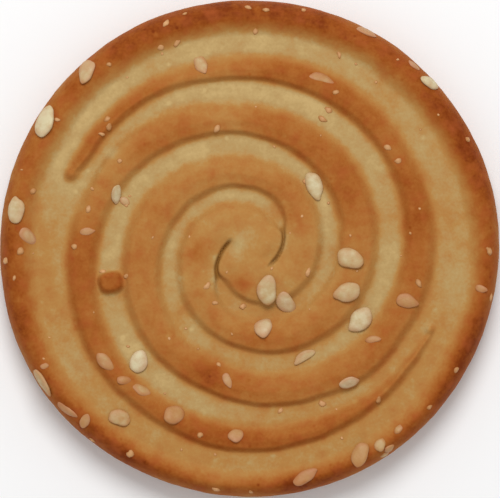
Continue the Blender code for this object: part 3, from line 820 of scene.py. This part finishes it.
def flecks_group():
    """Small round flecks: 1 at the middle of each, 0 between them."""
    group, given, result = new_group(
        "Flecks",
        (
            ("Vector", "NodeSocketVector", None),
            ("Spacing", "NodeSocketFloat", 0.001),
            ("Width", "NodeSocketFloat", 0.25),
            ("Share", "NodeSocketFloat", 0.3),
        ),
        (("Value", "NodeSocketFloat"),),
    )
    scale = maths(group, "DIVIDE", 1.0, given.outputs["Spacing"])
    cells = node(group, "ShaderNodeTexVoronoi", {"Vector": given.outputs["Vector"], "Scale": scale})
    near = maths(group, "DIVIDE", cells.outputs["Distance"], given.outputs["Width"])
    inside = maths(group, "SUBTRACT", 1.0, near, clamp=True)
    chance = node(group, "ShaderNodeSeparateColor", {0: cells.outputs["Color"]})
    kept = maths(group, "LESS_THAN", chance.outputs[0], given.outputs["Share"])
    group.links.new(maths(group, "MULTIPLY", inside, kept), result.inputs["Value"])
    return group


def baked_colour_group(colours):
    """Colour of the crust for how brown it is, with some patches redder, and the painted shade of the tight folds."""
    group, given, result = new_group(
        "Baked colour",
        (("Browning", "NodeSocketFloat", 0.5), ("Flush", "NodeSocketFloat", 0.0), ("Crease shade", "NodeSocketFloat", 0.0)),
        (("Color", "NodeSocketColor"),),
    )
    stops = (
        (0.0, colours.cream),
        (0.1, colours.pale),
        (0.25, colours.straw),
        (0.45, colours.golden),
        (0.65, colours.russet),
        (0.83, colours.brown),
        (1.0, colours.scorched),
    )
    baked = colour_ramp(group, given.outputs["Browning"], stops)
    amount = maths(group, "MULTIPLY", given.outputs["Flush"], given.outputs["Browning"], clamp=True)
    flushed = mixed_colours(group, amount, baked, opaque(colours.flush))
    creased = mixed_colours(group, given.outputs["Crease shade"], flushed, opaque(colours.crease_shade))
    group.links.new(creased, result.inputs["Color"])
    return group


def use_group(tree, group, inputs):
    """The output of a shared group with this material's own values."""
    return node(tree, "ShaderNodeGroup", inputs, node_tree=group).outputs[0]


def shared_groups():
    """The node groups that the materials share, built once."""
    names = ("Speckle", "Flecks", "Baked colour")
    if not all(name in bpy.data.node_groups for name in names):
        speckle_group()
        flecks_group()
        baked_colour_group(bpy.context.scene.biscuit_colours)
    return [bpy.data.node_groups[name] for name in names]


def new_material(name):
    """A material, its node tree and its shader."""
    old = bpy.data.materials.get(name)
    if old is not None:
        bpy.data.materials.remove(old)
    material = bpy.data.materials.new(name)
    material.use_nodes = True
    return material, material.node_tree, material.node_tree.nodes["Principled BSDF"]


def crust_material():
    """Baked dough: browned by the masks on the mesh, which also hold painted light and shade on the ridges, rim and
    channel and painted shade in the tight folds; mottled, speckled and finely pitted.
    """
    speckle, flecks, baked_colour = shared_groups()
    material, tree, shader = new_material("baked crust")
    where = node(tree, "ShaderNodeTexCoord").outputs["Object"]
    browning_and_light = mask(tree, "browning_and_light")

    mottles = [
        (use_group(tree, speckle, {"Vector": where, "Size": size, "Detail": detail}), strength)
        for size, detail, strength in CRUST_MOTTLES
    ]
    mottle = weighed(tree, *mottles)
    browned = weighed(tree, (browning_and_light, 1.0), (mottle, mask(tree, "mottling")))
    pale_flecks = use_group(tree, flecks, {"Vector": where, **PALE_FLECKS})
    dark_flecks = use_group(tree, flecks, {"Vector": where, **DARK_FLECKS})
    darker = maths(tree, "MULTIPLY", browning_and_light, DARK_FLECK)
    browned = weighed(tree, (browned, 1.0), (dark_flecks, darker), (pale_flecks, -PALE_FLECK), clamp=True)

    blush = use_group(tree, speckle, {"Vector": where, **BLUSH})
    blush = maths(tree, "MULTIPLY", maths(tree, "ADD", blush, BLUSH_LIFT), BLUSH_SHARE, clamp=True)
    tint = use_group(tree, baked_colour, {"Browning": browned, "Flush": blush, "Crease shade": mask(tree, "crease_shade")})
    tree.links.new(tint, shader.inputs["Base Color"])

    roughness = node(tree, "ShaderNodeMapRange", {"Value": browned, "To Min": 0.7, "To Max": 0.6})
    tree.links.new(roughness.outputs[0], shader.inputs["Roughness"])
    shader.inputs["Specular IOR Level"].default_value = 0.04

    middling, fine = mottles[1][0], mottles[2][0]
    grain = weighed(tree, (fine, 0.6), (middling, 0.4))
    fine_relief(tree, shader, grain, strength=0.35, distance=0.03 * MM)
    return material


def hull_material(colours):
    """Sesame hull: cream to toasted by the mask on the mesh, a little mottled, and rosy in places."""
    speckle, _, _ = shared_groups()
    material, tree, shader = new_material("sesame hull")
    where = node(tree, "ShaderNodeTexCoord").outputs["Object"]
    clouds = use_group(tree, speckle, {"Vector": where, "Size": 0.75 * MM, "Detail": 2.0})
    toasted = weighed(tree, (mask(tree, "toasting"), 1.0), (clouds, 0.16), clamp=True)
    stops = ((0.0, colours.hull), (0.28, colours.warm_hull), (0.6, colours.toasted_hull), (1.0, colours.brown_hull))
    baked = colour_ramp(tree, toasted, stops)
    patches = use_group(tree, speckle, {"Vector": where, "Size": 1.1 * MM, "Detail": 1.0})
    rosy = weighed(tree, (mask(tree, "rosiness"), 0.6), (patches, 0.2), clamp=True)
    tree.links.new(mixed_colours(tree, rosy, baked, opaque(colours.rosy_hull)), shader.inputs["Base Color"])
    shader.inputs["Roughness"].default_value = 0.5
    shader.inputs["Specular IOR Level"].default_value = 0.3
    ribs = use_group(tree, speckle, {"Vector": where, "Size": 0.2 * MM, "Detail": 1.0})
    fine_relief(tree, shader, ribs, strength=0.25, distance=0.02 * MM)
    return material


def crumb_material(colours):
    """Crumbs and blisters: paler than the crust they lie in."""
    speckle, _, _ = shared_groups()
    material, tree, shader = new_material("toasted crumb")
    where = node(tree, "ShaderNodeTexCoord").outputs["Object"]
    clouds = use_group(tree, speckle, {"Vector": where, "Size": 0.3 * MM, "Detail": 1.0})
    toasted = weighed(tree, (mask(tree, "toasting"), 1.0), (clouds, 0.15), clamp=True)
    tint = mixed_colours(tree, toasted, opaque(colours.crumb), opaque(colours.golden))
    tree.links.new(tint, shader.inputs["Base Color"])
    shader.inputs["Roughness"].default_value = 0.6
    return material


# ------------------------------------------------------------------------------------------------
# Dough
# ------------------------------------------------------------------------------------------------


def top_rings(sizes):
    """Rings of the top, from the middle out to the widest line."""
    rings = [np.array([[0.0, 0.0, top_height(sizes, np.zeros(1), np.zeros(1))[0]]])]
    flat = sizes.radius - sizes.roll
    radii = np.linspace(0.0, flat, round(flat / ROW_GAP) + 1)[1:]
    roll_angles = np.linspace(math.pi / 2.0, 0.0, ROLL_ROWS + 1)[1:]
    radii = np.append(radii, flat + sizes.roll * (1.0 - np.array([1.0 - math.cos(a) for a in roll_angles])))
    for radius in radii:
        bearing = bearings(ring_count(radius))
        reach = outline(sizes, bearing) * (radius / sizes.radius)
        x, y = reach * np.cos(bearing), reach * np.sin(bearing)
        if np.isclose(radius, sizes.radius):
            rings.append(np.column_stack((x, y, np.full_like(x, sizes.widest_at))))
        else:
            warp = np.column_stack((x, y, np.zeros_like(x)))
            shift_x = sizes.wander * rough(warp, WANDER_SIZE)
            shift_y = sizes.wander * rough(warp, WANDER_SIZE, WANDER_OFFSET)
            steady = smoothstep(sizes.radius, sizes.radius - 2.0 * sizes.roll, radius)
            z = top_height(sizes, x + shift_x * steady, y + shift_y * steady)
            rings.append(np.column_stack((x, y, z)))
    return rings


def lower_rings(sizes):
    """Rings of the side below the widest line, and of the underside in to its middle."""
    rings = []
    bearing = bearings(RIM_POINTS)
    edge = outline(sizes, bearing)
    foot = np.array(FOOT)
    knots = np.column_stack((np.linspace(0.0, 1.0, len(foot)), foot))
    for step in range(1, SIDE_ROWS + 1):
        inset, down = hermite(knots, np.array(step / SIDE_ROWS))
        reach = edge - inset * MM
        z = np.full_like(reach, sizes.widest_at * (1.0 - down))
        rings.append(np.column_stack((reach * np.cos(bearing), reach * np.sin(bearing), z)))
    base = sizes.radius - foot[-1][0] * MM
    for radius in np.linspace(base, 0.0, UNDERSIDE_ROWS + 1)[1:-1]:
        bearing = bearings(ring_count(radius) // 2)
        reach = (outline(sizes, bearing) - foot[-1][0] * MM) * (radius / base)
        rings.append(np.column_stack((reach * np.cos(bearing), reach * np.sin(bearing), np.zeros_like(reach))))
    rings.append(np.zeros((1, 3)))
    return rings


def uneven(sizes, mesh):
    """Gives the crust its broad and its small unevenness, and leaves the foot flat."""
    points = read_points(mesh)
    relief = sizes.pimple * rough(points, *PIMPLES)
    relief += sizes.swell * sum(part * rough(points, size, offset) for part, size, offset in SWELLS)
    raise_points(mesh, relief * smoothstep(0.0, FLAT_FOOT, points[:, 2]))


def dough_mesh(sizes):
    """The whole disc of dough, with how brown it is at each point together with painted light and shade, how much
    painted shade its tight folds get, and how mottled it is.
    """
    mesh = mesh_from_rings("swirled_dough", top_rings(sizes) + lower_rings(sizes))
    x, y, z = read_points(mesh).T
    distance = np.hypot(x, y)
    on_top = z >= sizes.widest_at
    top = crust_browning_and_light(sizes, x, y)
    side = top + (SIDE_TONE[0] - top) * smoothstep(sizes.widest_at, SIDE_TONE[1], z)
    edge = outline(sizes, np.arctan2(y, x)) - distance
    under = UNDER_TONE[0] + UNDER_TONE[1] * smoothstep(*UNDER_EDGE, edge)
    browned = np.where(on_top, top, np.where(z > UNDERSIDE_ENDS, side, under))
    paleness = 1.0 - smoothstep(0.0, MOTTLED_PALE[0], browned)
    on_rim = smoothstep(*MOTTLED_RIM[:2], distance)
    # browning together with painted light and shade on the ridges, rim and channel
    set_attribute(mesh, "browning_and_light", browned)
    # painted shade in the tight folds, with some browning
    set_attribute(mesh, "crease_shade", CREASE_SHADE_STRENGTH * np.where(on_top, cut_shape(sizes, x, y)[2], 0.0))
    set_attribute(mesh, "mottling", 1.0 + MOTTLED_RIM[2] * on_rim - MOTTLED_PALE[1] * paleness)
    uneven(sizes, mesh)
    return mesh


class BISCUIT_OT_bake_dough(bpy.types.Operator):
    """Make the disc of dough with its double swirl, channel and rim, and its baked crust"""

    bl_idname = "biscuit.bake_dough"
    bl_label = "Bake dough"

    def execute(self, context):
        sizes = context.scene.biscuit_sizes
        low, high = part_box(NODE)
        if abs(high.x - low.x - 2.0 * sizes.radius) > SIZE_SLACK:
            raise RuntimeError("the dough's radius isn't the packed solid's")
        add_piece("swirled_dough", dough_mesh(sizes), crust_material())
        return {"FINISHED"}


# ------------------------------------------------------------------------------------------------
# Seeds
# ------------------------------------------------------------------------------------------------


def seed_outline(place):
    """Half width of a seed along its length, of half its width: round at 0, bluntly pointed at 1."""
    blunt = np.sqrt(np.clip(1.0 - ((SEED_BELLY - place) / SEED_BELLY) ** 2, 0.0, 1.0))
    taper = np.clip((place - SEED_BELLY) / (1.0 - SEED_BELLY), 0.0, 1.0)
    return np.where(place < SEED_BELLY, blunt, (1.0 - taper ** SEED_TAPER[0]) ** SEED_TAPER[1])


def own_outline(draw, unevenness):
    """A closed curve of its own for each small thing: how far out it reaches in each direction, about 1."""
    waves = [(lobes, draw.uniform(0.3, 1.0) / lobes, draw.uniform(0.0, 2.0 * math.pi)) for lobes in (2, 3, 4, 5)]
    return lambda angle: 1.0 + unevenness * sum(high * np.cos(lobes * angle + turn) for lobes, high, turn in waves)


def seed_rings(seed_length, width, thickness, draw):
    """Rings of one seed along X, with a slight bend and lopsidedness of its own."""
    bend, lop = draw.uniform(-SEED_BEND, SEED_BEND), draw.uniform(-SEED_LOP, SEED_LOP)
    reach = own_outline(draw, SEED_UNEVENNESS)
    angles = bearings(SEED_SIDES)
    rings = [np.array([[-seed_length / 2.0, 0.0, 0.0]])]
    for place in (1.0 - np.cos(np.linspace(0.0, math.pi, SEED_ROWS)))[1:-1] / 2.0:
        half = width / 2.0 * seed_outline(np.array(place))
        high = thickness / 2.0 * seed_outline(np.array(place)) ** SEED_FLATNESS
        across = half * np.cos(angles) * (1.0 + lop * np.sin(angles))
        up = high * np.sign(np.sin(angles)) * np.abs(np.sin(angles)) ** SEED_FLATNESS
        along = np.full(SEED_SIDES, (place - 0.5) * seed_length)
        across = across + bend * seed_length * math.sin(math.pi * place)
        rings.append(np.column_stack((along, across, up)))
    rings.append(np.array([[seed_length / 2.0, 0.0, 0.0]]))
    for ring in rings:
        ring[:, :2] *= reach(np.arctan2(ring[:, 1] / width, ring[:, 0] / seed_length))[:, None]
    return rings


def resting_place(sizes, x, y, width, turn):
    """Matrix that rests a thing of this width on the dough, its long axis turned by `turn` degrees."""
    reach = SEED_REST * width
    xs = np.array([x - reach, x + reach, x, x, x])
    ys = np.array([y, y, y - reach, y + reach, y])
    heights = top_height(sizes, xs, ys)
    up = Vector((heights[0] - heights[1], heights[2] - heights[3], 2.0 * reach)).normalized()
    along = Vector((math.cos(math.radians(turn)), math.sin(math.radians(turn)), 0.0))
    across = up.cross(along).normalized()
    spot = Vector((x, y, max(heights[4], heights[:4].mean())))
    return Matrix.Translation(spot) @ Matrix((across.cross(up), across, up)).transposed().to_4x4()


def joined(name, parts, lumps):
    """One mesh of many closed ones, each (rings, matrix, {attribute: value at each point}), made lumpy."""
    points, faces, values = [], [], {}
    for rings, matrix, shades in parts:
        start = sum(len(p) for p in points)
        small = mesh_from_rings("part", rings)
        local = read_points(small)
        points.append(local @ np.array(matrix.to_3x3()).T + np.array(matrix.translation))
        faces += [tuple(start + i for i in polygon.vertices) for polygon in small.polygons]
        for title, shade in shades.items():
            values.setdefault(title, []).append(shade)
        bpy.data.meshes.remove(small)
    mesh = bpy.data.meshes.new(name)
    mesh.from_pydata(np.vstack(points).tolist(), [], faces)
    mesh.update()
    mesh.shade_smooth()
    for title, shades in values.items():
        set_attribute(mesh, title, np.concatenate(shades))
    points = read_points(mesh)
    raise_points(mesh, sum(high * rough(points, size) for high, size in lumps))
    return mesh


def seed_parts(sizes):
    """Each seed's rings, its place, and how toasted and rosy it is at each point."""
    draw = np.random.default_rng(SEED_DRAW)
    kinds = ((LYING_SEEDS, LYING_LIFT), (BEDDED_SEEDS, BEDDED_LIFT), (SUNK_SEEDS, SUNK_LIFT))
    for (seeds, lift), (browned_edge, rosy_edge) in zip(kinds, SEED_EDGES):
        for x, y, turn, seed_length, width, toasting, rosiness in seeds:
            thickness = width * sizes.seed_thickness * MM
            rings = seed_rings(seed_length * MM, width * MM, thickness, draw)
            place = resting_place(sizes, x * MM, y * MM, width * MM, turn)
            place = place @ Matrix.Translation((0.0, 0.0, lift * thickness))
            local = np.vstack(rings)
            along = 2.0 * local[:, 0] / (seed_length * MM)
            across = 2.0 * local[:, 1] / (width * MM)
            edge = smoothstep(*SEED_RIM, np.hypot(along, across))
            tip = smoothstep(*SEED_TIP, along)
            shades = {
                "toasting": toasting + browned_edge * edge + TIP_TONE * tip + BODY_TONE,
                "rosiness": rosiness * (ROSY_MIDDLE + (1.0 - ROSY_MIDDLE) * edge) + rosy_edge * edge,
            }
            yield rings, place, shades


class BISCUIT_OT_strew_seeds(bpy.types.Operator):
    """Make the sesame seeds, each laid in the crust where it was baked in"""

    bl_idname = "biscuit.strew_seeds"
    bl_label = "Strew seeds"

    def execute(self, context):
        mesh = joined("sesame_seeds", seed_parts(context.scene.biscuit_sizes), SEED_LUMPS)
        add_piece("sesame_seeds", mesh, hull_material(context.scene.biscuit_colours))
        return {"FINISHED"}


# ------------------------------------------------------------------------------------------------
# Crumbs
# ------------------------------------------------------------------------------------------------


def crumb_rings(width, draw):
    """Rings of one low crumb about the origin."""
    angles = bearings(CRUMB_SIDES)
    stretch, high = draw.uniform(*CRUMB_STRETCH), draw.uniform(*CRUMB_HEIGHT) * width / 2.0
    own = own_outline(draw, CRUMB_UNEVENNESS)(angles)
    rings = [np.array([[0.0, 0.0, high]])]
    for slope in np.linspace(0.0, math.pi, CRUMB_ROWS)[1:-1]:
        reach = width / 2.0 * math.sin(slope)
        along, across = stretch * reach * own * np.cos(angles), reach * own * np.sin(angles) / stretch
        rings.append(np.column_stack((along, across, np.full(CRUMB_SIDES, high * math.cos(slope)))))
    rings.append(np.array([[0.0, 0.0, -high]]))
    return rings


def crumb_parts(sizes):
    """Each crumb's rings, its place, and how toasted it is at each point."""
    draw = np.random.default_rng(CRUMB_DRAW)
    places = [(x * MM, y * MM, sizes.crumb * draw.uniform(*LARGE_SPREAD)) for x, y in LARGE_CRUMBS]
    for _ in range(sizes.fine_crumbs):
        reach = (sizes.radius - CRUMB_MARGIN) * math.sqrt(draw.uniform())
        bearing = draw.uniform(0.0, 2.0 * math.pi)
        width = sizes.crumb * draw.uniform(*FINE_SPREAD)
        places.append((reach * math.cos(bearing), reach * math.sin(bearing), width))
    for x, y, width in places:
        rings = crumb_rings(width, draw)
        place = resting_place(sizes, x, y, width, draw.uniform(0.0, 360.0))
        local = np.vstack(rings)
        skirt = smoothstep(*CRUMB_SKIRT, 2.0 * np.hypot(local[:, 0], local[:, 1]) / width)
        yield rings, place, {"toasting": draw.uniform(0.0, CRUMB_TONE) + CRUMB_TONE * skirt}


class BISCUIT_OT_sprinkle_crumbs(bpy.types.Operator):
    """Make the crumbs and blisters that stand up from the crust"""

    bl_idname = "biscuit.sprinkle_crumbs"
    bl_label = "Sprinkle crumbs"

    def execute(self, context):
        mesh = joined("crust_crumbs", crumb_parts(context.scene.biscuit_sizes), CRUMB_LUMPS)
        add_piece("crust_crumbs", mesh, crumb_material(context.scene.biscuit_colours))
        return {"FINISHED"}


# ------------------------------------------------------------------------------------------------
# Making the stage
# ------------------------------------------------------------------------------------------------


def floor_material(stage):
    """Plain pale floor, seen from above only; what almost touches it is lit through it, to be seen from below."""
    material, tree, shader = new_material("pale floor")
    shader.inputs["Base Color"].default_value = opaque(stage.floor)
    shader.inputs["Roughness"].default_value = 0.8
    clear = node(tree, "ShaderNodeBsdfTransparent")
    below = node(tree, "ShaderNodeNewGeometry").outputs["Backfacing"]
    touching = maths(tree, "LESS_THAN", node(tree, "ShaderNodeLightPath").outputs["Ray Length"], FLOOR_TOUCH)
    through = maths(tree, "MAXIMUM", below, touching)
    mixed = node(tree, "ShaderNodeMixShader", {0: through, 1: shader.outputs[0], 2: clear.outputs[0]})
    tree.links.new(mixed.outputs[0], tree.nodes["Material Output"].inputs["Surface"])
    return material


def add_floor(stage):
    """A plain floor just below the biscuit."""
    mesh = bpy.data.meshes.new("floor")
    corners = [(-1, -1), (1, -1), (1, 1), (-1, 1)]
    mesh.from_pydata([(x * FLOOR_HALF, y * FLOOR_HALF, 0.0) for x, y in corners], [], [(0, 1, 2, 3)])
    mesh.materials.append(floor_material(stage))
    floor = place_object("floor", mesh)
    floor.location.z = cad_box[0][2] - FLOOR_GAP


def add_lights(stage):
    """A soft box on the fair side, and even light from all round."""
    key = bpy.data.lights.new("soft box", "AREA")
    key.shape = "DISK"
    key.size = stage.key_size
    key.energy = stage.key
    lamp = place_object("soft box", key)
    flat = math.cos(stage.key_height)
    across, back = flat * math.cos(stage.key_bearing), flat * math.sin(stage.key_bearing)
    direction = Vector((across, back, math.sin(stage.key_height)))
    lamp.location = direction * stage.key_distance
    lamp.rotation_euler = direction.to_track_quat("Z", "Y").to_euler()
    lamp.visible_camera = False
    world = bpy.data.worlds.new("soft room")
    world.use_nodes = True
    background = world.node_tree.nodes["Background"]
    background.inputs["Color"].default_value = (1.0, 1.0, 1.0, 1.0)
    background.inputs["Strength"].default_value = stage.fill
    bpy.context.scene.world = world


def add_camera(stage):
    """Looks straight down at the biscuit, which fills the view."""
    camera = bpy.data.cameras.new("camera")
    camera.sensor_width = SENSOR
    camera.lens = camera.sensor_width * stage.camera_distance / stage.view_width
    camera.clip_start = 0.01
    holder = place_object("camera", camera)
    holder.location = Vector(CAMERA_AIM) + Vector((0.0, 0.0, stage.camera_distance))
    bpy.context.scene.camera = holder


class BISCUIT_OT_lay_stage(bpy.types.Operator):
    """Make the pale floor, the soft light and the camera above the biscuit"""

    bl_idname = "biscuit.lay_stage"
    bl_label = "Lay stage"

    def execute(self, context):
        stage = context.scene.biscuit_stage
        add_floor(stage)
        add_lights(stage)
        add_camera(stage)
        context.scene.view_settings.view_transform = "Standard"
        return {"FINISHED"}


# ------------------------------------------------------------------------------------------------
# Panel and registration
# ------------------------------------------------------------------------------------------------

OPERATORS = (
    BISCUIT_OT_bake_dough,
    BISCUIT_OT_strew_seeds,
    BISCUIT_OT_sprinkle_crumbs,
    BISCUIT_OT_lay_stage,
)


class BISCUIT_PT_panel(bpy.types.Panel):
    """Sizes, colours and makers of the biscuit"""

    bl_label = "Sesame Biscuit"
    bl_space_type = "VIEW_3D"
    bl_region_type = "UI"
    bl_category = "Biscuit"

    def draw(self, context):
        for operator in OPERATORS:
            self.layout.operator(operator.bl_idname)
        for settings in (context.scene.biscuit_sizes, context.scene.biscuit_colours, context.scene.biscuit_stage):
            box = self.layout.box()
            for name in settings.bl_rna.properties.keys():
                if name not in ("rna_type", "name"):
                    box.prop(settings, name)


CLASSES = (BiscuitSizes, BiscuitColours, BiscuitStage, *OPERATORS, BISCUIT_PT_panel)


def register():
    for cls in CLASSES:
        bpy.utils.register_class(cls)
    bpy.types.Scene.biscuit_sizes = PointerProperty(type=BiscuitSizes)
    bpy.types.Scene.biscuit_colours = PointerProperty(type=BiscuitColours)
    bpy.types.Scene.biscuit_stage = PointerProperty(type=BiscuitStage)


def unregister():
    del bpy.types.Scene.biscuit_stage
    del bpy.types.Scene.biscuit_colours
    del bpy.types.Scene.biscuit_sizes
    for cls in reversed(CLASSES):
        bpy.utils.unregister_class(cls)


def main():
    register()
    bpy.ops.biscuit.bake_dough()
    bpy.ops.biscuit.strew_seeds()
    bpy.ops.biscuit.sprinkle_crumbs()
    bpy.ops.biscuit.lay_stage()


if __name__ == "__main__":
    main()
